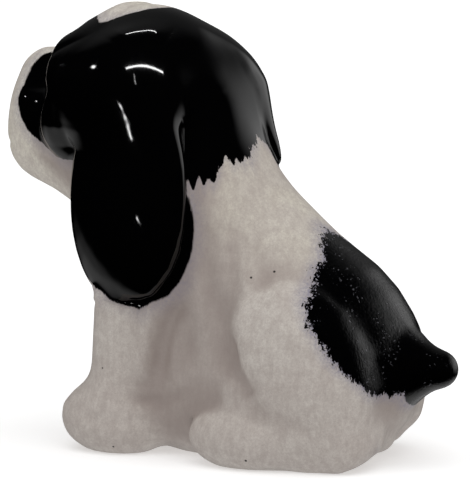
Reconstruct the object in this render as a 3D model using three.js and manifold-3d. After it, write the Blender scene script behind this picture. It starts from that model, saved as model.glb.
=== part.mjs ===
// A seated spaniel puppy, a small slip-cast ceramic figurine, as the pieces that a modeller lutes
// together before the firing. Millimetres, +Z up. The puppy looks along -Y with its head turned to
// its right, its own left side is +X, and it sits on Z = 0 about the centre of its outer box.
import * as THREE from "three";
import { mergeVertices } from "three/addons/utils/BufferGeometryUtils.js";
import Module from "manifold-3d";

const wasm = await Module();
wasm.setup();

// Driving dimensions
const seam = 0.3; // clearance between neighbouring pieces
const wall = 2.8; // thickness of the cast shell of the torso and the head
const ventRadius = 2.4; // hole in the base, which lets the steam out in the kiln
const ventAlong = 6; // how far behind the middle the vent lies
const boreRadius = 4; // opening between the hollow of the head and that of the neck
const headCentre = [-2, -11, 49.4]; // middle of the skull
const headTurn = -20; // degrees about Z, to the puppy's right
const legSpread = 7.1; // half the distance between the forelegs
const haunchSpread = 10.8; // half the distance between the thighs
const hindPawSpread = 11.8; // half the distance between the hind paws
const eyeRadius = 2.3;

// Glazes
const white = { color: 0xd8d2ca, roughness: 0.42, metalness: 0 };
const black = { color: 0x08080a, roughness: 0.1, metalness: 0 };

// A shape is a function of a point that gives about how far the point is outside the shape's surface.
function placed(position, degrees) {
  const radians = degrees.map(THREE.MathUtils.degToRad);
  const turn = new THREE.Quaternion().setFromEuler(new THREE.Euler(...radians, "ZYX"));
  return new THREE.Matrix4().compose(new THREE.Vector3(...position), turn, new THREE.Vector3(1, 1, 1));
}

function ellipsoid(centre, radii, turn = [0, 0, 0]) {
  const into = placed(centre, turn).invert();
  const local = new THREE.Vector3();
  const [rx, ry, rz] = radii;
  return (point) => {
    const { x, y, z } = local.copy(point).applyMatrix4(into);
    const scaled = Math.hypot(x / rx, y / ry, z / rz);
    const slope = Math.hypot(x / rx ** 2, y / ry ** 2, z / rz ** 2);
    return slope < 1e-9 ? -Math.min(rx, ry, rz) : (scaled * (scaled - 1)) / slope;
  };
}

// A round limb from one point to another, with a radius at each end.
function limb(from, to, startRadius, endRadius) {
  const start = new THREE.Vector3(...from);
  const along = new THREE.Vector3(...to).sub(start);
  const offset = new THREE.Vector3();
  return (point) => {
    offset.copy(point).sub(start);
    const share = THREE.MathUtils.clamp(offset.dot(along) / along.lengthSq(), 0, 1);
    const radius = THREE.MathUtils.lerp(startRadius, endRadius, share);
    return offset.addScaledVector(along, -share).length() - radius;
  };
}

// Shapes joined, with a fillet of about the given size where they meet, and one shape dented by others.
function blendPair(size, a, b) {
  const overlap = Math.max(size - Math.abs(a - b), 0) / size;
  return Math.min(a, b) - (overlap ** 2 * size) / 4;
}

function blend(size, ...shapes) {
  return (point) => shapes.map((shape) => shape(point)).reduce((a, b) => blendPair(size, a, b));
}

function carve(size, shape, ...tools) {
  return (point) => tools.reduce((rest, tool) => -blendPair(size, -rest, tool(point)), shape(point));
}

const grow = (shape, by) => (point) => shape(point) - by;

// The closed surface of a shape, found along rays from a point inside it. reach is the shape's rough
// half size each way, which spreads the rays evenly over a long or flat shape.
function skin(shape, centre, reach, detail) {
  const rays = new THREE.IcosahedronGeometry(1, detail);
  rays.deleteAttribute("normal");
  rays.deleteAttribute("uv");
  const geometry = mergeVertices(rays);
  const places = geometry.getAttribute("position");
  const middle = new THREE.Vector3(...centre);
  const size = new THREE.Vector3(...reach);
  const ray = new THREE.Vector3();
  const point = new THREE.Vector3();
  const outsideAt = (along) => shape(point.copy(middle).addScaledVector(ray, along)) > 0;
  const step = 0.4;
  const halvings = 12;
  for (let i = 0; i < places.count; i += 1) {
    ray.fromBufferAttribute(places, i).multiply(size).normalize();
    let far = step;
    while (!outsideAt(far)) far += step;
    let near = far - step;
    for (let halving = 0; halving < halvings; halving += 1) {
      const half = (near + far) / 2;
      if (outsideAt(half)) far = half;
      else near = half;
    }
    point.copy(middle).addScaledVector(ray, near);
    places.setXYZ(i, point.x, point.y, point.z);
  }
  return geometry;
}

function solid(geometry) {
  const bare = geometry.clone();
  bare.deleteAttribute("normal");
  bare.deleteAttribute("uv");
  const merged = mergeVertices(bare);
  return new wasm.Manifold(
    new wasm.Mesh({
      numProp: 3,
      vertProperties: Float32Array.from(merged.getAttribute("position").array),
      triVerts: Uint32Array.from(merged.index.array),
    }),
  );
}

const solidOf = (shape, centre, reach, detail) => solid(skin(shape, centre, reach, detail));

function piece(name, made, look) {
  const whole = made.decompose().sort((a, b) => b.volume() - a.volume())[0];
  const mesh = whole.getMesh();
  const geometry = new THREE.BufferGeometry();
  geometry.setAttribute("position", new THREE.BufferAttribute(mesh.vertProperties, 3));
  geometry.setIndex(new THREE.BufferAttribute(mesh.triVerts, 1));
  geometry.computeVertexNormals();
  const part = new THREE.Mesh(geometry, new THREE.MeshStandardMaterial(look));
  part.name = name;
  return part;
}

function upright(radius, low, high, x, y) {
  const rod = new THREE.CylinderGeometry(radius, radius, high - low, 24);
  return solid(rod.rotateX(Math.PI / 2).translate(x, y, (low + high) / 2));
}

const ground = solid(new THREE.BoxGeometry(200, 200, 40).translate(0, 0, -20));
const sides = [
  ["left", 1],
  ["right", -1],
];

// Head, in its own frame: the muzzle points along -Y from the middle of the skull
const skull = ellipsoid([0, 0.8, 0], [11.6, 12.2, 11.5]);
const muzzle = ellipsoid([0, -16.4, -2.8], [7.6, 8, 7]);
const flews = (side) => ellipsoid([side * 3.4, -17, -8], [4.6, 6.4, 6]);
const bridge = ellipsoid([0, -12.5, 0.4], [5.6, 9, 4.6]);
const jaw = ellipsoid([0, -9, -12.4], [6.4, 10.4, 5.8], [-16, 0, 0]);
const cheek = (side) => ellipsoid([side * 6.4, -7.6, -5], [4.9, 5, 5.6]);
const brow = (side) => ellipsoid([side * 5.8, -6.8, 2.9], [4.6, 4.1, 4.7]);
const furrow = ellipsoid([0, -9.6, 10.6], [2, 8, 3.4], [35, 0, 0]);
const socket = (side) => ellipsoid([side * 6.6, -13.8, 1.4], [2.6, 2.2, 2.3]);
const face = blend(3.4, bridge, jaw, cheek(1), cheek(-1), brow(1), brow(-1));
const snout = blend(3, muzzle, flews(1), flews(-1));
const headShape = carve(2.4, blend(3, skull, snout, face), furrow, socket(1), socket(-1));
const headMiddle = [0, -4, -1];
const headReach = [12, 20, 13];
const headPlace = placed(headCentre, [0, 0, headTurn]);

// Nose and eyes, in the head's frame: pellets pressed onto the face
const noseCentre = [0, -22.2, 0.2];
const noseReach = [2.7, 2.1, 2];
const nose = ellipsoid(noseCentre, noseReach, [-10, 0, 0]);
const eyeCentre = (side) => [side * 5.5, -10.5, 1.1];
const eyeReach = [eyeRadius, eyeRadius, eyeRadius];
const eye = (side) => ellipsoid(eyeCentre(side), eyeReach);

// Ear, in the head's frame: a thick lobe that hangs from the side of the skull
const earCentre = (side) => [side * 9.2, 6, -12];
const earReach = [4, 10, 16];
const ear = (side) =>
  blend(
    4,
    ellipsoid([side * 9.4, 6.2, -14.2], [4.4, 10.7, 15.4], [-3, side * -2, 0]),
    ellipsoid([side * 9.3, 8.9, -19.4], [3.7, 7.1, 7.3]),
    ellipsoid([side * 8.4, 4.2, -1], [4.6, 8.2, 7.2]),
  );

// Torso: rump, belly, chest and neck
const rump = ellipsoid([0, 14, 12.8], [14.2, 16.8, 14]);
const belly = ellipsoid([0, 4, 8], [10.6, 17, 9.6]);
const chest = ellipsoid([0, -3.4, 24], [11.6, 11.5, 19]);
const back = limb([0, -1.8, 35], [0, 13, 17.4], 9.8, 13);
const neck = limb([0, -3, 33], [-1.4, -4.4, 46.5], 10.4, 9.2);
const torsoShape = blend(5, rump, belly, chest, back, neck);
const torsoMiddle = [0, 0, 23];
const torsoReach = [12, 21, 26];

// Legs and tail
const legMiddle = (side) => [side * legSpread, -10, 8];
const legReach = [6, 9, 12];
const foreleg = (side) =>
  blend(
    3,
    limb([side * legSpread, -8.6, 24], [side * legSpread, -10, 5], 5.2, 5),
    ellipsoid([side * legSpread, -11.6, 4.6], [5.4, 8, 5.2]),
  );
const haunchCentre = (side) => [side * haunchSpread, 17.2, 11.8];
const haunchReach = [5.6, 9.8, 12.6];
const haunch = (side) => ellipsoid(haunchCentre(side), haunchReach, [16, 0, side * 4]);
const hindPawCentre = (side) => [side * hindPawSpread, 10.5, 4];
const hindPawReach = [4.6, 8.6, 4.6];
const hindPaw = (side) => ellipsoid(hindPawCentre(side), hindPawReach, [0, 0, side * -4]);
const tail = limb([0, 24.5, 13.2], [0.4, 33.7, 13.2], 6.4, 2.7);

// What each piece is cut back by, so that it clears its neighbours
const torsoTool = solidOf(grow(torsoShape, seam), torsoMiddle, torsoReach, 10);
const headTool = solidOf(grow(headShape, seam), headMiddle, headReach, 10);
const headToolInPlace = headTool.transform(headPlace.toArray());
const torsoToolInHead = torsoTool.transform(headPlace.clone().invert().toArray());

const root = new THREE.Group();
const body = new THREE.Group();
const headGroup = new THREE.Group();
headGroup.applyMatrix4(headPlace);
root.add(body);
body.add(headGroup);

// Torso: a cast shell, open at the neck and through the vent in its flat base
const baseSlab = solid(new THREE.BoxGeometry(200, 200, 40).translate(0, 0, wall - 20));
const torsoHollow = solidOf(grow(torsoShape, -wall), torsoMiddle, torsoReach, 6).subtract(baseSlab);
body.add(
  piece(
    "torso",
    solidOf(torsoShape, torsoMiddle, torsoReach, 9)
      .subtract(headToolInPlace)
      .subtract(ground)
      .subtract(torsoHollow)
      .subtract(upright(ventRadius, -4, wall + 4, 0, ventAlong)),
    white,
  ),
);

// Head: a cast shell, open where it stands on the neck
const headHollow = solidOf(grow(headShape, -wall), headMiddle, headReach, 5);
headGroup.add(
  piece(
    "head",
    solidOf(headShape, headMiddle, headReach, 10)
      .subtract(headHollow)
      .subtract(upright(boreRadius, -20, -6, 0, 2)),
    black,
  ),
);
headGroup.add(piece("nose", solidOf(nose, noseCentre, noseReach, 3).subtract(headTool), black));

const earTools = {};
for (const [name, side] of sides) {
  const earTool = solidOf(grow(ear(side), seam), earCentre(side), earReach, 6);
  earTools[name] = earTool.transform(headPlace.toArray());
  headGroup.add(piece(`${name}_eye`, solidOf(eye(side), eyeCentre(side), eyeReach, 3).subtract(headTool), black));
  headGroup.add(
    piece(
      `${name}_ear`,
      solidOf(ear(side), earCentre(side), earReach, 6).subtract(headTool).subtract(torsoToolInHead),
      black,
    ),
  );
}

for (const [name, side] of sides) {
  const haunchTool = solidOf(grow(haunch(side), seam), haunchCentre(side), haunchReach, 6);
  const legParts = {
    foreleg: solidOf(foreleg(side), legMiddle(side), legReach, 6).subtract(earTools[name]),
    haunch: solidOf(haunch(side), haunchCentre(side), haunchReach, 5),
    hind_paw: solidOf(hindPaw(side), hindPawCentre(side), hindPawReach, 4).subtract(haunchTool),
  };
  for (const [leg, made] of Object.entries(legParts)) {
    body.add(piece(`${name}_${leg}`, made.subtract(torsoTool).subtract(ground), white));
  }
}

body.add(piece("tail", solidOf(tail, [0.2, 30, 12.8], [4, 6, 4], 4).subtract(torsoTool), black));

// The middle of the outer box, seen from above, stands over the origin.
body.updateMatrixWorld(true);
const outerBox = new THREE.Box3().setFromObject(body, true);
const outerMiddle = outerBox.getCenter(new THREE.Vector3());
body.position.set(-outerMiddle.x, -outerMiddle.y, 0);

export default root;
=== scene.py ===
"""A seated black and white spaniel puppy, a small glazed ceramic figurine.

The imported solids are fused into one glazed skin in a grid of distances, the coat and the face are
modelled into that skin, and it is divided again into one closed piece for each CAD node.
Lengths are in metres for Blender, and in millimetres in the grid, the strokes that model the skin and
the masks of the glaze.
"""

import math

import bpy
import numpy as np
import openvdb as vdb
from mathutils import Matrix, Vector


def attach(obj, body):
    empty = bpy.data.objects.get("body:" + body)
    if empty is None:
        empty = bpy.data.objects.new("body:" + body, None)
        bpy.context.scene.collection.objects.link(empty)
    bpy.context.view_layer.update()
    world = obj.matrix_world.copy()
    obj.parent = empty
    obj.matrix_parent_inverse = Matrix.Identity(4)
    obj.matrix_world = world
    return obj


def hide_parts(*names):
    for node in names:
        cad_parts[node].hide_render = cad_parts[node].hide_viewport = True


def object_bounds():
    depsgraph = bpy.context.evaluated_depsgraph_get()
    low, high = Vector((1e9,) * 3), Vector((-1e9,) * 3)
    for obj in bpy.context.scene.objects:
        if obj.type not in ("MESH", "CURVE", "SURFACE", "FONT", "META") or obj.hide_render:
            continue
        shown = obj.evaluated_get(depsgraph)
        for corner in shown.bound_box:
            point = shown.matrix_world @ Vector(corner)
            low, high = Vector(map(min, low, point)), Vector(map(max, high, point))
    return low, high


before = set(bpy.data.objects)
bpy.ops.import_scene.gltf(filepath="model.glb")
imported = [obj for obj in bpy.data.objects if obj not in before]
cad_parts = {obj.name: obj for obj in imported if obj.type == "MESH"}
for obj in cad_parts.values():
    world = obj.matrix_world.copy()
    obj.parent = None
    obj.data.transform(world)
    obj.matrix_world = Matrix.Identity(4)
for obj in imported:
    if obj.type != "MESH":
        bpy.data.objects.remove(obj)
cad_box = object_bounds()

VOXEL = 0.25  # mm
BAND = 5.0  # mm on each side of a surface where distances are kept
MARGIN = 2.5  # mm around the CAD box
FAR = 1e3  # stands for every distance beyond the band
MM = 1000.0

grid_low = np.array(cad_box[0]) * MM - MARGIN
grid_high = np.array(cad_box[1]) * MM + MARGIN
grid_size = np.ceil((grid_high - grid_low) / VOXEL).astype(int) + 1


def axis_coordinates(axis):
    shape = [1, 1, 1]
    shape[axis] = grid_size[axis]
    return (grid_low[axis] + VOXEL * np.arange(grid_size[axis], dtype=np.float32)).reshape(shape)


X, Y, Z = (axis_coordinates(axis) for axis in range(3))


def node_distance(name):
    """Signed distance to a CAD node's surface in mm, negative inside, on the whole grid."""
    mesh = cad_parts[name].data
    mesh.calc_loop_triangles()
    corners = np.empty(len(mesh.vertices) * 3, np.float32)
    mesh.vertices.foreach_get("co", corners)
    triangles = np.empty(len(mesh.loop_triangles) * 3, np.int32)
    mesh.loop_triangles.foreach_get("vertices", triangles)
    welded, index = np.unique(
        np.round(corners.reshape(-1, 3) * 1e7).astype(np.int64), axis=0, return_inverse=True
    )
    points = (welded / 1e4 - grid_low) / VOXEL
    grid = vdb.FloatGrid.createLevelSetFromPolygons(
        points.astype(np.float32),
        triangles=index.reshape(-1)[triangles].reshape(-1, 3).astype(np.uint32),
        transform=vdb.createLinearTransform(voxelSize=1.0),
        halfWidth=BAND / VOXEL,
    )
    distance = np.zeros(grid_size, np.float32)
    grid.copyToArray(distance)
    distance *= VOXEL
    distance[distance > 0.99 * BAND] = FAR
    return distance


def joined(a, b, fillet):
    """Union of two fields with a fillet between them, in mm."""
    overlap = np.maximum(fillet - np.abs(a - b), 0) / fillet
    return np.minimum(a, b) - overlap**2 * (fillet / 4)


def blurred(field, sigma, cell=VOXEL):
    """Gaussian blur, with sigma in mm."""
    reach = int(math.ceil(2.6 * sigma / cell))
    weights = np.exp(-0.5 * (np.arange(-reach, reach + 1) * cell / sigma) ** 2)
    weights = (weights / weights.sum()).astype(np.float32)
    for axis in range(3):
        padded = np.pad(field, [(reach, reach) if a == axis else (0, 0) for a in range(3)], mode="edge")
        field = np.zeros_like(field)
        for shift, weight in enumerate(weights):
            window = [slice(None)] * 3
            window[axis] = slice(shift, shift + field.shape[axis])
            field += weight * padded[tuple(window)]
    return field


def sampled(field, points, cell=VOXEL):
    """Trilinear values of a grid at points in mm."""
    place = (points - grid_low) / cell
    low = np.clip(np.floor(place).astype(int), 0, np.array(field.shape) - 2)
    part = (place - low).astype(np.float32)
    total = np.zeros(len(points), np.float32)
    for corner in np.ndindex(2, 2, 2):
        weight = np.prod(np.where(corner, part, 1 - part), axis=1)
        i, j, k = (low + corner).T
        total += weight * field[i, j, k]
    return total


def slopes(field, points, step=VOXEL):
    """Gradient of a grid at points in mm."""
    result = np.empty((len(points), 3), np.float32)
    for axis in range(3):
        offset = np.zeros(3)
        offset[axis] = step
        ahead = sampled(field, points + offset)
        result[:, axis] = (ahead - sampled(field, points - offset)) / (2 * step)
    return result


names = sorted(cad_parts)
distances = {name: node_distance(name) for name in names}
YIELD = {"torso": 0.9, "head": 0.5}  # mm that the shells leave to what is luted onto them

# Which CAD node is nearest, and how much nearer than the next one
nearest = np.full(grid_size, FAR, np.float32)
second = np.full(grid_size, FAR, np.float32)
owner = np.zeros(grid_size, np.int8)
for number, name in enumerate(names):
    here = distances[name] + YIELD.get(name, 0)
    closer = here < nearest
    second = np.where(closer, nearest, np.minimum(second, here))
    owner[closer] = number
    nearest = np.where(closer, here, nearest)

FILLETS = [
    ("left_haunch", 3.6),
    ("right_haunch", 3.6),
    ("left_foreleg", 2.6),
    ("right_foreleg", 2.6),
    ("left_hind_paw", 1.8),
    ("right_hind_paw", 1.8),
    ("tail", 3.0),
]
skin = distances["torso"]
for name, fillet in FILLETS:
    skin = joined(skin, distances[name], fillet)
head = distances["head"]
for name in ("nose", "left_eye", "right_eye"):
    head = joined(head, distances[name], 0.4)
skin = joined(skin, head, 2.5)
# An ear grows out of the skull and hangs free lower down, where a line parts it from the body
root = np.clip((Z - 41) / 9, 0, 1)
for name in ("left_ear", "right_ear"):
    lead = np.clip(skin, -BAND, BAND) - np.clip(distances[name], -BAND, BAND)
    line = 0.35 * (1 - root) * np.exp(-((lead / 0.8) ** 2))
    skin = joined(skin, distances[name], 1.0 + 5.0 * root) + line
skin = blurred(np.clip(skin, -BAND, BAND), 0.45)

# The head's own frame, in mm as in the CAD: the muzzle points along -Y from the middle of the skull
HEAD_CENTRE = np.array([-2.0, -11.75, 49.4])
HEAD_TURN = math.radians(-20)
turn_cos, turn_sin = math.cos(HEAD_TURN), math.sin(HEAD_TURN)


def from_head(point):
    """The place of a point that is given in the head's frame."""
    x, y, z = point
    return HEAD_CENTRE + (x * turn_cos - y * turn_sin, x * turn_sin + y * turn_cos, z)


def to_head(points):
    """The coordinates of points in the head's frame."""
    x, y, z = (points - HEAD_CENTRE).T
    return x * turn_cos + y * turn_sin, -x * turn_sin + y * turn_cos, z


# Squash of a stroke: how distances count along X, Y and Z, less where it should reach further
FLANK = (0.4, 1, 1)
ROUND = (1, 1, 1)
FRONT = (1, 0.6, 1)
LIP = (0.7, 0.7, 1)


def stroke(path, width, depth, squash, blunt=False):
    """Presses a soft groove into the skin along a path, or raises a ridge where depth is negative.

    It fades out at both ends unless it is blunt.
    """
    path = np.array(path, float)
    reach = 2.4 * width
    scale = np.array(squash, float)
    low = np.clip(np.floor((path.min(0) - reach / scale - grid_low) / VOXEL), 0, grid_size - 1).astype(int)
    high = np.clip(np.ceil((path.max(0) + reach / scale - grid_low) / VOXEL), 0, grid_size - 1).astype(int)
    box = tuple(slice(a, b + 1) for a, b in zip(low, high))
    x, y, z = X[box[0]], Y[:, box[1]], Z[:, :, box[2]]
    lengths = np.linalg.norm(np.diff(path, axis=0) * scale, axis=1)
    starts = np.concatenate([[0], np.cumsum(lengths)]) / lengths.sum()
    best = np.full(np.broadcast_shapes(x.shape, y.shape, z.shape), FAR, np.float32)
    place = np.zeros_like(best)
    for a, b, start, end in zip(path[:-1], path[1:], starts[:-1], starts[1:]):
        along = (b - a) * scale
        gap = [(x - a[0]) * scale[0], (y - a[1]) * scale[1], (z - a[2]) * scale[2]]
        share = np.clip(sum(g * v for g, v in zip(gap, along)) / (along**2).sum(), 0, 1)
        square = sum((g - share * v) ** 2 for g, v in zip(gap, along))
        closer = square < best
        best = np.where(closer, square, best)
        place = np.where(closer, start + share * (end - start), place)
    taper = 1.0 if blunt else np.clip(np.minimum(place, 1 - place) / 0.25 + 0.15, 0, 1)
    skin[box] += depth * taper * np.exp(-best / width**2)


def both(path, width, depth, squash):
    """A stroke on the left side and its mirror image on the right."""
    stroke(path, width, depth, squash)
    stroke([(-x, y, z) for x, y, z in path], width, depth, squash)


# The hollow inside the casting, found by flooding the air around it on a coarse grid
COARSE = 4  # cells of the fine grid in a cell of the coarse one
TOO_WIDE = 2.6  # mm from every surface, which is more than the vent has, so the flood stays outside


def spread(mask, passable, steps):
    """Grows a mask cell by cell through passable cells."""
    for _ in range(steps):
        wider = mask.copy()
        for axis in range(3):
            for shift in (1, -1):
                moved = np.roll(mask, shift, axis)
                edge = [slice(None)] * 3
                edge[axis] = 0 if shift == 1 else -1
                moved[tuple(edge)] = False
                wider |= moved
        mask = mask | wider & passable
    return mask


coarse_skin = skin[::COARSE, ::COARSE, ::COARSE]
outside = np.ones(coarse_skin.shape, bool)
outside[1:-1, 1:-1, 1:-1] = False
outside = spread(outside, coarse_skin > TOO_WIDE, 90)
outside = spread(outside, coarse_skin > 0, 4)
inner = spread((coarse_skin > 0) & ~outside, True, 1)
inner_fine = inner
for axis in range(3):
    inner_fine = inner_fine.repeat(COARSE, axis)
inner_fine = inner_fine[tuple(slice(0, size) for size in grid_size)]

# The skull and the nape are one smooth sweep, down to the crease behind the right ear
SWEEP = 1.7  # mm
SWEPT_SLOPE = 0.45  # what the blur makes of a slope of one
SWEPT_SHIFT = 0.14  # mm that it takes off the skull, which are added again
ahead = (X - HEAD_CENTRE[0]) * turn_sin - (Y - HEAD_CENTRE[1]) * turn_cos
nape = np.clip((Z - 36) / 4, 0, 1) * np.clip((Y + 1) / 3, 0, 1) * np.clip((7 - X) / 2, 0, 1)
crease = np.clip((-2.6 - X) / 1.6, 0, 1) * np.clip((Y + 1) / 2, 0, 1) * np.clip((56 - Z) / 5, 0, 1)
calm = np.maximum(np.clip((Z - 45) / 5, 0, 1), nape) * np.clip((9 - ahead) / 4, 0, 1) * (1 - crease)
swept = blurred(np.where(inner_fine, -1, np.clip(skin, -1, 1)).astype(np.float32), SWEEP)
change = calm * (swept / SWEPT_SLOPE - SWEPT_SHIFT - skin)
skin += np.where(inner_fine, 0, change).astype(np.float32)

# Gentle unevenness from the modeller's hands, none at the base and little on the head
rng = np.random.default_rng(7)
LUMP = 4.5  # mm
LUMP_HEIGHT = 0.12  # mm
knots = [np.arange(grid_low[a] - LUMP, grid_high[a] + 2 * LUMP, LUMP) for a in range(3)]
lumps = rng.standard_normal([len(k) for k in knots])
for axis in range(3):
    line = (X, Y, Z)[axis].reshape(-1, 1)
    weights = np.exp(-0.5 * ((line - knots[axis]) / (0.75 * LUMP)) ** 2)
    weights /= weights.sum(axis=1, keepdims=True)
    lumps = np.moveaxis(np.tensordot(weights, lumps, axes=(1, axis)), 0, axis)
skin += (LUMP_HEIGHT * lumps * np.clip(Z / 3, 0, 1) * np.clip((46 - Z) / 14, 0.25, 1)).astype(np.float32)

# Coat and limbs: width, depth, squash and path of what is modelled on both sides
MODELLING = {
    "groove behind the foreleg": (
        1.3, 0.9, FLANK,
        [(11.2, -0.2, 23), (11, -1, 21), (11, -2.4, 18.6), (10.9, -3.4, 15.6), (10.7, -3.8, 12.9),
         (10.6, -3.8, 10.5)],
    ),
    "rear edge of the foreleg": (
        1.6, -0.8, FLANK,
        [(11.3, -4.2, 22), (11.2, -4.9, 19), (11, -5.6, 16), (11, -6.2, 13), (10.9, -6.8, 10)],
    ),
    "crease over the forepaw": (
        1.0, 0.35, FLANK,
        [(11.9, -8.8, 8.6), (11, -6.6, 7.7), (10.2, -4, 7.6), (10.4, -1.4, 8.6), (10.6, 0.8, 10.6)],
    ),
    "fold above that crease": (1.2, -0.35, FLANK, [(10.3, -2.2, 9.8), (10.6, 0, 11), (11, 2.2, 13.2)]),
    "shoulder under the ear": (1.3, -0.6, ROUND, [(9.6, -13.8, 23.4), (10, -13.5, 22), (10.2, -13.3, 20.8)]),
    "slanting front of the haunch": (
        2.8, 0.9, ROUND,
        [(14.2, 7, 19), (14.8, 8, 16), (15.6, 9.6, 13), (16, 11.6, 10.4), (16, 13, 8.6)],
    ),
    "valley between belly and haunch": (
        2.1, 0.75, FLANK,
        [(11.6, 5.0, 25), (12, 5.6, 21.5), (12.3, 6.2, 18), (12.5, 7, 14.5), (12.8, 8.2, 11)],
    ),
    "hollow flank": (2.6, 0.35, FLANK, [(11, -0.6, 22), (11, 0.2, 18), (11, 0.6, 14)]),
    "ridge of the thigh": (
        1.5, -0.25, FLANK,
        [(13, 9.2, 23), (14.5, 9.8, 19.5), (15, 10.6, 16.5), (15.6, 11.8, 13)],
    ),
    "first coat fold": (
        1.3, 0.2, FLANK,
        [(9.6, 6.6, 33.5), (10.4, 7.2, 30), (11.2, 7.6, 27), (12.2, 7.9, 22)],
    ),
    "second coat fold": (
        1.5, 0.22, FLANK,
        [(9, 8.4, 32), (9.8, 9.6, 29), (11, 11.4, 26.2), (12.8, 13.6, 22)],
    ),
    "coat between those two": (
        1.4, -0.16, FLANK,
        [(9.4, 7.6, 32.5), (10.4, 8.6, 29.5), (11.6, 9.6, 26), (12.8, 10.6, 21.5)],
    ),
    "third coat fold": (
        1.2, 0.24, FLANK,
        [(10.2, 2.6, 34), (10.8, 3.3, 30), (11.3, 3.8, 26), (11.5, 4.2, 22)],
    ),
    "coat before the third fold": (1.2, -0.2, FLANK, [(11.3, 1.9, 27), (11.5, 2.3, 22), (11.6, 2.8, 17)]),
    "full rump": (3.6, -1.3, ROUND, [(12, 20, 2), (10.8, 24, 2.4), (8, 26.8, 3), (3.5, 28.6, 3.4)]),
    "crease over the hind paw": (
        1.7, 0.6, FLANK,
        [(16, 10.2, 9), (16, 14.4, 7.6), (15.3, 18, 6.7), (14, 21.5, 6)],
    ),
    "side of the forepaw": (
        1.0, 0.22, FLANK,
        [(12.2, -16.5, 5.2), (12.9, -12.5, 4.9), (12.3, -8, 4.8), (10.6, -4.5, 5)],
    ),
}
for width, depth, squash, path in MODELLING.values():
    both(path, width, depth, squash)
# The rump sits further out to the left than to the right
stroke([(12.5, 21.5, 1.6), (10, 25.2, 2), (6, 26.2, 2), (1, 25.2, 1.6), (-4, 24.4, 1.4)], 2.6, -1.1, ROUND)
stroke([(-13.5, 19, 2), (-10.5, 23.4, 2.4), (-6.5, 25.8, 4)], 2.6, 1.5, ROUND)
# Two lines between the toes of each paw
for offset in (-1.7, 1.7):
    fore = [(7.1 + offset, -17.6, 7.4), (7.1 + offset * 1.1, -19.6, 4.8), (7.1 + offset, -19.8, 1.8)]
    hind = [(12.2 + offset, 3.2, 7.6), (12.4 + offset * 1.1, 1.2, 5), (12.4 + offset, 1, 1.8)]
    both(fore, 0.55, 0.5, FRONT)
    both(hind, 0.55, 0.45, FRONT)

# Face
crown = [
    (9.5, -10.9, 56.1), (8.5, -10, 56.9), (7.5, -8.9, 57.3), (6.4, -7.6, 57.6), (5.9, -6.3, 57.3),
    (5.6, -5.1, 56.8),
]
stroke(crown, 2.6, -0.4, ROUND)


EYE_FACING = (0.55, -0.83, 0.08)  # of the left eye, in the head's frame


def face_stroke(side, path, width, depth, squash, blunt=False):
    """A stroke along a path given in the head's own frame for the left side, which is side 1."""
    stroke([from_head((side * x, y, z)) for x, y, z in path], width, depth, squash, blunt)


def lids(side):
    """The raised rim around one eye."""
    centre = np.array([side * 6.1, -12.3, 1.2])
    facing = np.array([side * EYE_FACING[0], *EYE_FACING[1:]])
    across = np.array([side * 0.83, 0.55, 0])
    upward = np.cross(across, facing) * side
    turns = np.linspace(0, 2 * math.pi, 25)
    ring = [centre + 2.25 * (math.cos(t) * across + 0.8 * math.sin(t) * upward) for t in turns]
    stroke([from_head(p) for p in ring], 0.5, -0.4, ROUND, blunt=True)


for side in (1, -1):
    forehead = [(3, -8.5, 8.2), (2.8, -5, 10.4), (2.4, -1, 11.2)]
    face_stroke(side, forehead, 3.8, -0.8, ROUND)
    bridge = [(3.2, -22.5, 3.2), (3, -19, 5.2)]
    face_stroke(side, bridge, 2, -0.6, ROUND, blunt=True)
    temple = [(9.2, -7.5, 5), (10, -5.4, 1), (10.2, -4.6, -4), (10, -4.6, -8)]
    face_stroke(side, temple, 3.2, -1.9, (0.8, 0.8, 0.8))
    mouth = [(0, -23.9, -6.4), (1.6, -23.8, -7.3), (3.4, -23.3, -8), (5.2, -22.9, -8.3)]
    face_stroke(side, mouth, 0.6, 0.7, LIP, blunt=True)
    jaw = [(5.2, -22.9, -8.3), (7.4, -19.9, -8.8), (7.6, -16, -9.6), (7, -12, -11)]
    face_stroke(side, jaw, 0.55, 0.2, LIP, blunt=True)
    nostril = [(1.3, -24.3, -0.1), (1.3, -24.3, -0.8)]
    face_stroke(side, nostril, 0.55, 0.6, FRONT, blunt=True)
    lids(side)
philtrum = [(0, -24.2, -2.2), (0, -24.2, -4.2), (0, -24.2, -6.3)]
face_stroke(1, philtrum, 0.5, 0.6, FRONT, blunt=True)

skin = np.maximum(skin, -Z)  # the flat base

# How hollow the skin is, for single folds and for whole limbs, which sets the painted shade in hollows: below
# zero where it bulges
bulk = np.where(inner, -1, np.clip(skin[::COARSE, ::COARSE, ::COARSE], -1, 1))
fold = -blurred(bulk, 1.6, VOXEL * COARSE)
hollow = -blurred(bulk, 4.5, VOXEL * COARSE)

BLACK_NODES = ("left_ear", "right_ear", "tail", "nose", "left_eye", "right_eye")
black_solids = np.minimum.reduce([distances[name] for name in BLACK_NODES])
white_solids = np.minimum.reduce([distances[name] for name in names if name not in BLACK_NODES])
solid_black = np.clip(white_solids, -BAND, BAND) - np.clip(black_solids, -BAND, BAND)


def unmixed(points, quads):
    """The largest connected part of a mesh, without the crumbs."""
    label = np.arange(len(points))
    while True:
        lowest = label[quads].min(axis=1)
        new = label.copy()
        for corner in range(4):
            np.minimum.at(new, quads[:, corner], lowest)
        new = new[new]
        if (new == label).all():
            break
        label = new
    winner = np.bincount(label[quads[:, 0]]).argmax()
    kept = quads[label[quads[:, 0]] == winner]
    used, index = np.unique(kept, return_inverse=True)
    return points[used], index.reshape(kept.shape)


def curve(value, *knots):
    """Straight lines through (value, result) knots."""
    return np.interp(value, [k[0] for k in knots], [k[1] for k in knots])


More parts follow.
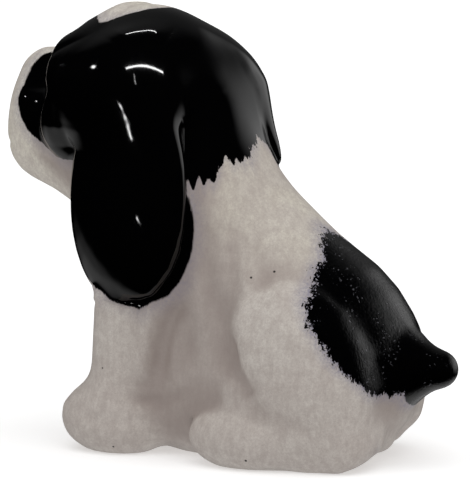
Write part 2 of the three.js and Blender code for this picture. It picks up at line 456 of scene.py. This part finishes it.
# How far back the saddle begins in mm, against the angle from straight up around a line through the rump
SADDLE_EDGE = [
    (0, 16.2), (5, 16.6), (11, 17.2), (17, 18.3), (22, 17.8), (33, 18.6), (42, 18.9), (51, 19.9), (55, 21.4),
    (60, 22.6), (65, 24.2), (71, 26.3), (77, 27.6), (95, 31),
]
SADDLE_LINE = 8  # mm, the height of that line
SADDLE_BOTTOM = 10.2  # mm


def saddle(points):
    """How far inside the black saddle patch a point lies, in mm."""
    x, y, z = points.T
    angle = np.degrees(np.arctan2(np.abs(x), z - SADDLE_LINE))
    front = curve(angle, *SADDLE_EDGE)
    front = front + np.where(x < 0, 0.8 * np.sin(angle / 9), 0)
    return np.minimum((y - front) * 0.9, (z - SADDLE_BOTTOM) * 1.2)


NECK_X, NECK_Y = -0.4, -4.4  # mm, the middle of the neck
# Height of the black's lower edge in mm, against the angle around the neck from straight behind
NECK_EDGE = [
    (0, 43.4), (9, 42.2), (17, 41.4), (20, 40.4), (23, 41), (27, 40.2), (31, 40.8), (34, 40), (36.7, 40.4),
    (39.3, 41.3), (42.4, 40.3), (46.4, 39), (50.4, 37.6), (53.3, 38.6), (56.6, 37.2), (59, 38.8),
    (63.2, 36.6), (66.5, 38.3), (70, 37.3), (75, 37.2), (90, 37.6), (125, 38), (150, 39.4), (180, 39.4),
]
# Half width of the white blaze in mm, against how far ahead of the skull's middle
BLAZE = [
    (-3.6, -2), (-3.2, 1.2), (-2.2, 3.8), (-0.5, 5.6), (1.2, 6.7), (2.4, 6.9), (4, 5.8), (6, 4), (8, 2.9),
    (11, 2.5), (13.5, 2.9), (16, 3.6), (18, 4.6),
]


def hood(points):
    """How far inside the black of the head and the neck a point lies, in mm."""
    x, y, z = points.T
    turn = np.degrees(np.arctan2(np.abs(x - NECK_X), y - NECK_Y))
    side, ahead, high = to_head(points)
    ahead, side = -ahead, np.abs(side)
    cheek = curve(ahead, (4, 30), (6, 39.2), (10, 39.8), (14, 41.6), (18, 43.2))
    below = z - np.maximum(curve(turn, *NECK_EDGE), cheek)
    muzzle = curve(high, (-9, 15.5), (-6, 17.4), (-2, 18.6), (2, 18.4), (5, 17.4)) - ahead
    blaze = np.where(high > -4, side - curve(ahead, *BLAZE), BAND)
    nose = np.where(ahead > 21, 2.5 * (1 - np.hypot(side / 3.1, (high - 0.1) / 2.3)), -BAND)
    return np.maximum(joined(joined(below, muzzle, 3.5), blaze, 1.2), nose)


EVEN = 0.35  # mm, how ragged the edge of the dipped black is


def paint_of(points):
    """How far inside the black a point lies, and how ragged the edge of the brushwork is there, in mm."""
    x, y, z = points.T
    brushed = np.maximum(hood(points), saddle(points))
    dipped = sampled(solid_black, points)
    # the front corner of an ear's tip stays white, and the black runs on over the body behind the ear
    corner = z - curve(y, (-16, 24), (-13.8, 23), (-12.8, 22), (-11.4, 21.2), (-9, 19))
    dipped = np.where((np.abs(x) > 6) & (y < -9) & (z < 28), np.minimum(dipped, corner), dipped)
    lobe = 8 * (1 - np.hypot((y + 6.6) / 8.3, (z - 31) / 9.9))
    beside = np.where((np.abs(x) > 6) & (y < 6), np.minimum(dipped + 2.2, lobe), dipped + 0.6)
    dipped = np.maximum(dipped, beside)
    # brushwork is ragged on the saddle and the back of the neck, and an ear's edge is even
    forward = np.abs(x - NECK_X) - (y - NECK_Y)
    loose = np.where(y > 9, 2.6, np.clip(2.4 - 0.35 * forward, 0.5, 2.4))
    share = np.clip((brushed - dipped) + 0.5, 0, 1)
    return np.clip(np.maximum(brushed, dipped), -BAND, BAND), EVEN + (loose - EVEN) * share


def iris_of(name, points):
    """1 on the brown ring around the pupil of an eye."""
    if not name.endswith("_eye"):
        return np.zeros(len(points))
    side = 1 if name == "left_eye" else -1
    facing = from_head((side * EYE_FACING[0], *EYE_FACING[1:])) - HEAD_CENTRE
    from_middle = points - points.mean(axis=0)
    lean = from_middle @ (facing / np.linalg.norm(facing))
    off = np.sqrt(np.maximum((from_middle**2).sum(axis=1) - lean**2, 0))
    return np.where(lean > 0, np.clip((off - 0.65) / 0.2, 0, 1) * np.clip((1.75 - off) / 0.2, 0, 1), 0)


OVERLAP = 0.45  # mm that a piece runs on under its neighbour
SINKING = 0.3  # mm that it sinks for each mm beyond the dividing line


def settled(points, sunk, side):
    """Points moved onto the skin, and which of them lie on it rather than on the cut."""
    for _ in range(2):
        value = sampled(sunk, points)
        slope = slopes(skin, points)
        outer = (value > sampled(side, points) - 0.02)[:, None]
        steepness = np.maximum((slope**2).sum(axis=1), 0.2)
        points = points - np.where(outer, slope * np.clip(value / steepness, -0.15, 0.15)[:, None], 0)
    return points, outer


def skin_mesh(name, points, quads, outer):
    """Mesh of a piece, shaded with the skin's own slope so that no seam shows between pieces."""
    mesh = bpy.data.meshes.new(name + "_skin")
    mesh.from_pydata((points / MM).tolist(), [], quads[:, ::-1].tolist())
    mesh.polygons.foreach_set("use_smooth", np.ones(len(quads), bool))
    mesh.update()
    normals = np.empty(len(points) * 3, np.float32)
    mesh.vertex_normals.foreach_get("vector", normals)
    normals = normals.reshape(-1, 3)
    slope = slopes(skin, points)
    if (normals * slope).sum(axis=1)[outer[:, 0]].mean() < 0:
        mesh.flip_normals()
        normals = -normals
    smooth = slope / np.maximum(np.linalg.norm(slope, axis=1), 1e-6)[:, None]
    mesh.normals_split_custom_set_from_vertices(np.where(outer, smooth, normals).tolist())
    return mesh


def write_masks(mesh, name, points):
    paint, ragged = paint_of(points)
    masks = {
        "paint": paint,
        "ragged": ragged,
        "iris": iris_of(name, points),
        "fold": sampled(fold, points, VOXEL * COARSE),
        "hollow": sampled(hollow, points, VOXEL * COARSE),
    }
    for label, mask in masks.items():
        layer = mesh.attributes.new(label, "FLOAT", "POINT")
        layer.data.foreach_set("value", mask.astype(np.float32))


def piece_of(name):
    """The closed part of the skin that belongs to one CAD node, as an object that stands for it."""
    rival = np.where(owner == names.index(name), second, nearest)
    side = np.minimum((distances[name] + YIELD.get(name, 0) - rival) / 2, BAND) - OVERLAP
    sunk = skin + SINKING * np.clip(side + OVERLAP, 0, OVERLAP)
    grid = vdb.FloatGrid(BAND)
    grid.copyFromArray(np.clip(np.maximum(sunk, side) / VOXEL, -BAND, BAND))
    points, quads = grid.convertToQuads(0.0)
    points, quads = unmixed(points, quads.astype(np.int64))
    points, outer = settled(points.astype(np.float64) * VOXEL + grid_low, sunk, side)
    mesh = skin_mesh(name, points, quads, outer)
    write_masks(mesh, name, points)
    piece = bpy.data.objects.new(name + "_glazed", mesh)
    bpy.context.scene.collection.objects.link(piece)
    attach(piece, "root")
    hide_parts(name)
    return piece


pieces = {name: piece_of(name) for name in names}


class Nodes:
    """Adds and wires the shader nodes of a material or a world by short calls."""

    def __init__(self, owner):
        owner.use_nodes = True
        self.tree = owner.node_tree

    def put(self, socket, value):
        if isinstance(value, bpy.types.NodeSocket):
            self.tree.links.new(value, socket)
        else:
            socket.default_value = value

    def node(self, kind, output=0, settings=None, **inputs):
        """An output of a new node. Inputs are given by name, or by number as i0, i1 and so on."""
        made = self.tree.nodes.new("ShaderNode" + kind)
        for key, value in (settings or {}).items():
            setattr(made, key, value)
        for key, value in inputs.items():
            self.put(made.inputs[int(key[1:]) if key[0] == "i" and key[1:].isdigit() else key], value)
        return made.outputs[output]

    def math(self, operation, a, b=0.0):
        return self.node("Math", settings={"operation": operation}, i0=a, i1=b)

    def plus(self, a, b):
        return self.math("ADD", a, b)

    def minus(self, a, b):
        return self.math("SUBTRACT", a, b)

    def times(self, a, b):
        return self.math("MULTIPLY", a, b)

    def mix(self, share, a, b):
        """Blend of two numbers."""
        return self.node("Mix", settings={"data_type": "FLOAT"}, i0=share, i2=a, i3=b)

    def tint(self, share, a, b):
        """Blend of two colours."""
        made = self.tree.nodes.new("ShaderNodeMix")
        made.data_type = "RGBA"
        for index, value in ((0, share), (6, a), (7, b)):
            self.put(made.inputs[index], value)
        return made.outputs[2]

    def ramp(self, value, low, high, to_low=0.0, to_high=1.0):
        return self.node(
            "MapRange",
            settings={"interpolation_type": "SMOOTHSTEP"},
            i0=value, i1=low, i2=high, i3=to_low, i4=to_high,
        )

    def attribute(self, name):
        return self.node("Attribute", output=2, settings={"attribute_name": name})

    def place(self, scale=(1, 1, 1)):
        """Object coordinates in mm, stretched by scale."""
        bare = self.node("TexCoord", output=3)
        return self.node(
            "VectorMath", settings={"operation": "MULTIPLY"}, i0=bare, i1=tuple(MM * s for s in scale)
        )

    def noise(self, vector, size, detail=3.0, roughness=0.5):
        """Noise with features of about the given size in mm."""
        return self.node("TexNoise", Vector=vector, Scale=1 / size, Detail=detail, Roughness=roughness)


WHITE = (0.73, 0.69, 0.63, 1)
PINKISH = (0.64, 0.575, 0.53, 1)
# the glaze's cream tone, painted lighter on the upper body as painted light
TOP_LIGHT_CREAM = (0.92, 0.88, 0.74, 1)
# smoky overspray beside the black, and painted shade where the ears meet the body
SMOKE_AND_SHADE = (0.24, 0.235, 0.33, 1)
# painted shade in hollows and folds, and the darker grain of the glaze
SHADE_AND_GRAIN = (0.35, 0.285, 0.26, 1)
SPECK = (0.03, 0.026, 0.024, 1)
BLACK = (0.0009, 0.0009, 0.0011, 1)
# grey of the painted glints on the loosely brushed black
PAINTED_GLINT = (0.07, 0.07, 0.077, 1)
IRIS = (0.09, 0.032, 0.012, 1)


class Glaze(Nodes):
    """White glaze under brushed black, which is where the paint attribute is above zero."""

    def __init__(self, name):
        self.material = bpy.data.materials.new(name)
        super().__init__(self.material)
        self.mm = self.place()
        self.downward = self.place((1, 1, 0.22))  # noise on it runs down, as the brush did
        self.paint, self.ragged = self.attribute("paint"), self.attribute("ragged")
        self.broad = self.noise(self.mm, 9, 3.0)
        self.fine = self.noise(self.mm, 0.34, 4.0, 0.7)
        self.grain = self.noise(self.mm, 0.15, 2.0, 0.6)
        self.strokes = self.noise(self.downward, 0.8, 2.0, 0.6)
        self.bristles = self.noise(self.downward, 0.3, 2.0, 0.6)
        # the saddle and the tail are brushed more loosely than the head
        self.loose = self.ramp(self.coordinate(1), 8.0, 12.0)

        black = self.black_share()
        surface = self.tree.nodes["Principled BSDF"]
        colour = self.tint(self.attribute("iris"), self.tint(black, self.white(), self.black()), IRIS)
        self.put(surface.inputs["Base Color"], colour)
        satin = self.ramp(self.fine, 0.2, 0.8, 0.45, 0.6)
        shiny = self.ramp(self.bristles, 0.2, 0.8, 0.05, 0.09)
        self.put(surface.inputs["Roughness"], self.mix(black, satin, shiny))
        surface.inputs["IOR"].default_value = 1.5
        self.put(surface.inputs["Normal"], self.relief(black))

    def coordinate(self, axis):
        return self.node("SeparateXYZ", output=axis, i0=self.mm)

    def black_share(self):
        """1 in the black, with an edge as frayed as the ragged attribute says."""
        wild = self.plus(self.minus(self.strokes, 0.5), self.times(self.minus(self.bristles, 0.5), 0.6))
        edge = self.plus(self.paint, self.times(wild, self.ragged))
        spray = self.times(self.ragged, self.ramp(self.loose, 0.0, 1.0, 0.35, 1.3))
        spatter = self.times(self.minus(self.fine, 0.5), spray)
        return self.ramp(self.plus(edge, spatter), -0.14, 0.14)

    def white(self):
        """White glaze: pinker with painted shade low down, cream with painted light on top, painted shade in
        hollows and folds, grained, smoky overspray and painted shade beside the black, and specked.
        """
        height = self.coordinate(2)
        # painted shade: pinker and darker towards the base
        colour = self.tint(self.ramp(height, 4.0, 32.0, 0.5, 0.1), WHITE, PINKISH)
        colour = self.tint(self.ramp(self.broad, 0.35, 0.7, 0.0, 0.5), colour, PINKISH)
        # painted light: a lighter cream on top of the body, in broad patches
        top_light = self.times(self.ramp(height, 22.0, 34.0), self.ramp(self.broad, 0.3, 0.6, 0.9, 0.35))
        colour = self.tint(top_light, colour, TOP_LIGHT_CREAM)
        # painted shade in hollows and folds, where glaze also pools, then darker grain at random
        shades = (
            self.ramp(self.attribute("hollow"), -0.22, 0.04, 0.0, 0.62),
            self.ramp(self.attribute("fold"), -0.08, 0.14, 0.0, 0.5),
            self.ramp(self.fine, 0.3, 0.72, 0.34, 0.02),
            self.ramp(self.grain, 0.3, 0.5, 0.3, 0.0),
            self.ramp(self.strokes, 0.35, 0.62, 0.2, 0.0),
            self.ramp(self.noise(self.mm, 1.2, 3.0), 0.35, 0.65, 0.2, 0.0),
        )
        for shade in shades:
            colour = self.tint(shade, colour, SHADE_AND_GRAIN)
        # darker beside the black: smoky overspray, and painted shade in the creases along the ears
        near = self.plus(self.paint, self.times(self.minus(self.broad, 0.5), 3.0))
        overspray_and_shade = self.times(self.ramp(near, -2.4, 0.3), self.ramp(self.fine, 0.3, 0.62, 0.85, 0.3))
        overspray_and_shade = self.times(overspray_and_shade, self.ramp(self.loose, 0.0, 1.0, 0.55, 1.0))
        colour = self.tint(overspray_and_shade, colour, SMOKE_AND_SHADE)
        dots = self.ramp(self.node("TexVoronoi", Vector=self.mm, Scale=1 / 4.2), 0.05, 0.03)
        specks = self.times(dots, self.ramp(self.noise(self.mm, 14, 0.0), 0.46, 0.5))
        return self.tint(specks, colour, SPECK)

    def black(self):
        """Black pigment, with painted glints: grey specks in bands where it is brushed loosely."""
        # painted glints: sparse grey specks in downward bands
        glints = self.ramp(self.noise(self.mm, 0.4, 2.0), 0.62, 0.72)
        bands = self.ramp(self.noise(self.downward, 2.2, 1.0), 0.52, 0.6)
        return self.tint(self.times(self.times(glints, bands), self.loose), BLACK, PAINTED_GLINT)

    def relief(self, black):
        wave = self.times(self.noise(self.mm, 2.6, 1.0), 0.4)
        on_white = self.times(self.grain, 0.14)
        on_black = self.times(self.plus(self.fine, self.bristles), self.ramp(self.loose, 0.0, 1.0, 0.01, 1.0))
        height = self.plus(wave, self.mix(black, on_white, on_black))
        return self.node("Bump", Strength=0.35, Distance=0.00012, Height=height)


painted = Glaze("painted_glaze").material
for name, piece in pieces.items():
    piece.data.materials.append(painted)

# Camera, on the puppy's left and a little behind it
AZIMUTH, ELEVATION = math.radians(115), math.radians(7)
DISTANCE = 0.5
SEEN_WIDTH = 0.0644  # at that distance
SENSOR = 36  # mm
level = math.cos(ELEVATION)
back = Vector((math.sin(AZIMUTH) * level, -math.cos(AZIMUTH) * level, math.sin(ELEVATION)))
right = Vector((math.cos(AZIMUTH), math.sin(AZIMUTH), 0))
up = back.cross(right)
MIDDLE = Vector((0, 0, 0.032))
aim = MIDDLE + right * 0.00219 - up * 0.00444  # the figurine sits a little off the frame's centre
camera = bpy.data.objects.new("camera", bpy.data.cameras.new("camera"))
bpy.context.scene.collection.objects.link(camera)
camera.location = aim + back * DISTANCE
camera.rotation_euler = back.to_track_quat("Z", "Y").to_euler()
camera.data.sensor_fit = "HORIZONTAL"
camera.data.sensor_width = SENSOR
camera.data.lens = SENSOR * DISTANCE / SEEN_WIDTH
camera.data.clip_start = 0.01
camera.data.clip_end = 20
bpy.context.scene.camera = camera
bpy.context.scene.view_settings.view_transform = "Standard"

# White paper floor, which lights nothing and isn't mirrored in the gloss
floor_mesh = bpy.data.meshes.new("floor")
floor_mesh.from_pydata([(-3, -3, 0), (3, -3, 0), (3, 3, 0), (-3, 3, 0)], [], [(0, 1, 2, 3)])
floor = bpy.data.objects.new("floor", floor_mesh)
bpy.context.scene.collection.objects.link(floor)
paper = bpy.data.materials.new("white_paper")
paper_surface = Nodes(paper).tree.nodes["Principled BSDF"]
paper_surface.inputs["Base Color"].default_value = (0.92, 0.92, 0.92, 1)
paper_surface.inputs["Roughness"].default_value = 0.9
paper_surface.inputs["Specular IOR Level"].default_value = 0
paper_surface.inputs["Emission Color"].default_value = (1, 1, 1, 1)
paper_surface.inputs["Emission Strength"].default_value = 0.34
floor_mesh.materials.append(paper)
floor.visible_glossy = False
floor.visible_diffuse = False

# A surround that is white to the camera and pale to matt surfaces, while gloss mirrors a few soft panels
world = bpy.data.worlds.new("studio")
bpy.context.scene.world = world
w = Nodes(world)
ray = w.tree.nodes.new("ShaderNodeLightPath")
direction = w.node("TexCoord", output=0)
rise = w.node("SeparateXYZ", output=2, i0=direction)


def panel(azimuth, elevation, inner, outer, strength):
    """A soft bright patch, its azimuth counted from straight behind the puppy towards the right."""
    flat = -(back - back.z * Vector((0, 0, 1))).normalized()
    turn, lift = math.radians(azimuth), math.radians(elevation)
    heading = flat * math.cos(turn) + right * math.sin(turn)
    middle = heading * math.cos(lift) + Vector((0, 0, math.sin(lift)))
    dot = {"operation": "DOT_PRODUCT"}
    near = w.node("VectorMath", output=1, settings=dot, i0=direction, i1=tuple(middle))
    return w.ramp(near, math.cos(math.radians(outer)), math.cos(math.radians(inner)), 0.0, strength)


mirrored = w.times(panel(60, 20, 16, 36, 0.95), w.ramp(rise, 0.75, 0.28))
for patch in (panel(8, 38, 20, 45, 0.08), panel(-45, -40, 15, 34, 0.32), panel(25, -55, 22, 42, 0.55)):
    mirrored = w.math("MAXIMUM", mirrored, patch)
ambient = w.ramp(rise, -0.8, 0.8, 0.8, 0.5)
glow = w.mix(ray.outputs["Is Glossy Ray"], ambient, mirrored)
glow = w.mix(ray.outputs["Is Camera Ray"], glow, 1.0)
w.put(w.tree.nodes["Background"].inputs["Strength"], glow)
w.tree.nodes["Background"].inputs["Color"].default_value = (1, 1, 1, 1)


def lit(name, kind, place, target, strength):
    """A light that faces a target."""
    light = bpy.data.objects.new(name, bpy.data.lights.new(name, kind))
    light.data.energy = strength
    light.location = place
    light.rotation_euler = (Vector(place) - Vector(target)).to_track_quat("Z", "Y").to_euler()
    bpy.context.scene.collection.objects.link(light)
    return light


sky = lit("overhead", "SUN", (0.14, 0.1, 0.5), (0, 0, 0.02), 1.15)
sky.data.angle = math.radians(70)
sky.visible_glossy = False

near_head = bpy.data.collections.new("near_head")
for name in ("head", "left_ear", "right_ear", "nose", "left_eye", "right_eye"):
    near_head.objects.link(pieces[name])


def strip(name, start, end, thickness, strength, target=None, beam=180):
    """A strip lamp between two points, which is seen only mirrored in the gloss of the head.

    With a target and a beam in degrees, its light is narrowed to a few millimetres around that point.
    """
    start, end = Vector(start), Vector(end)
    middle = (start + end) / 2
    facing = (middle - Vector(target or (0, 0, 0.045))).normalized()
    along = (end - start).normalized()
    across = facing.cross(along).normalized()
    lamp = lit(name, "AREA", middle, (0, 0, 0), strength)
    lamp.rotation_euler = Matrix((across.cross(facing), across, facing)).transposed().to_euler()
    lamp.data.shape = "RECTANGLE"
    lamp.data.size, lamp.data.size_y = (end - start).length, thickness
    lamp.visible_diffuse = False
    lamp.light_linking.receiver_collection = near_head
    if target:
        # a narrower beam of the same energy would be brighter
        lamp.data.spread = math.radians(beam)
        half = lamp.data.spread / 2
        lamp.data.energy = strength * (math.tan(half) - half) / math.tan(half)


BROW = (0.0125, -0.0155, 0.0528)
EAR = (0.0138, -0.0095, 0.0455)
strip("crown_strip", (-0.165, -0.22, 0.485), (-0.178, 0.1, 0.52), 0.012, 0.3)
strip("ear_strip", (0.33, -0.15, 0.43), (0.01, 0.33, 0.45), 0.022, 1.1)
strip("trail_slit", (0.36, -0.035, 0.41), (0.43, -0.02, 0.31), 0.005, 0.04)
strip("brow_lamp", (0.09, -0.465, 0.265), (0.16, -0.43, 0.285), 0.026, 0.2, BROW, 6)
strip("side_lamp", (0.465, -0.23, 0.06), (0.38, -0.345, 0.02), 0.08, 1.1, EAR, 4)
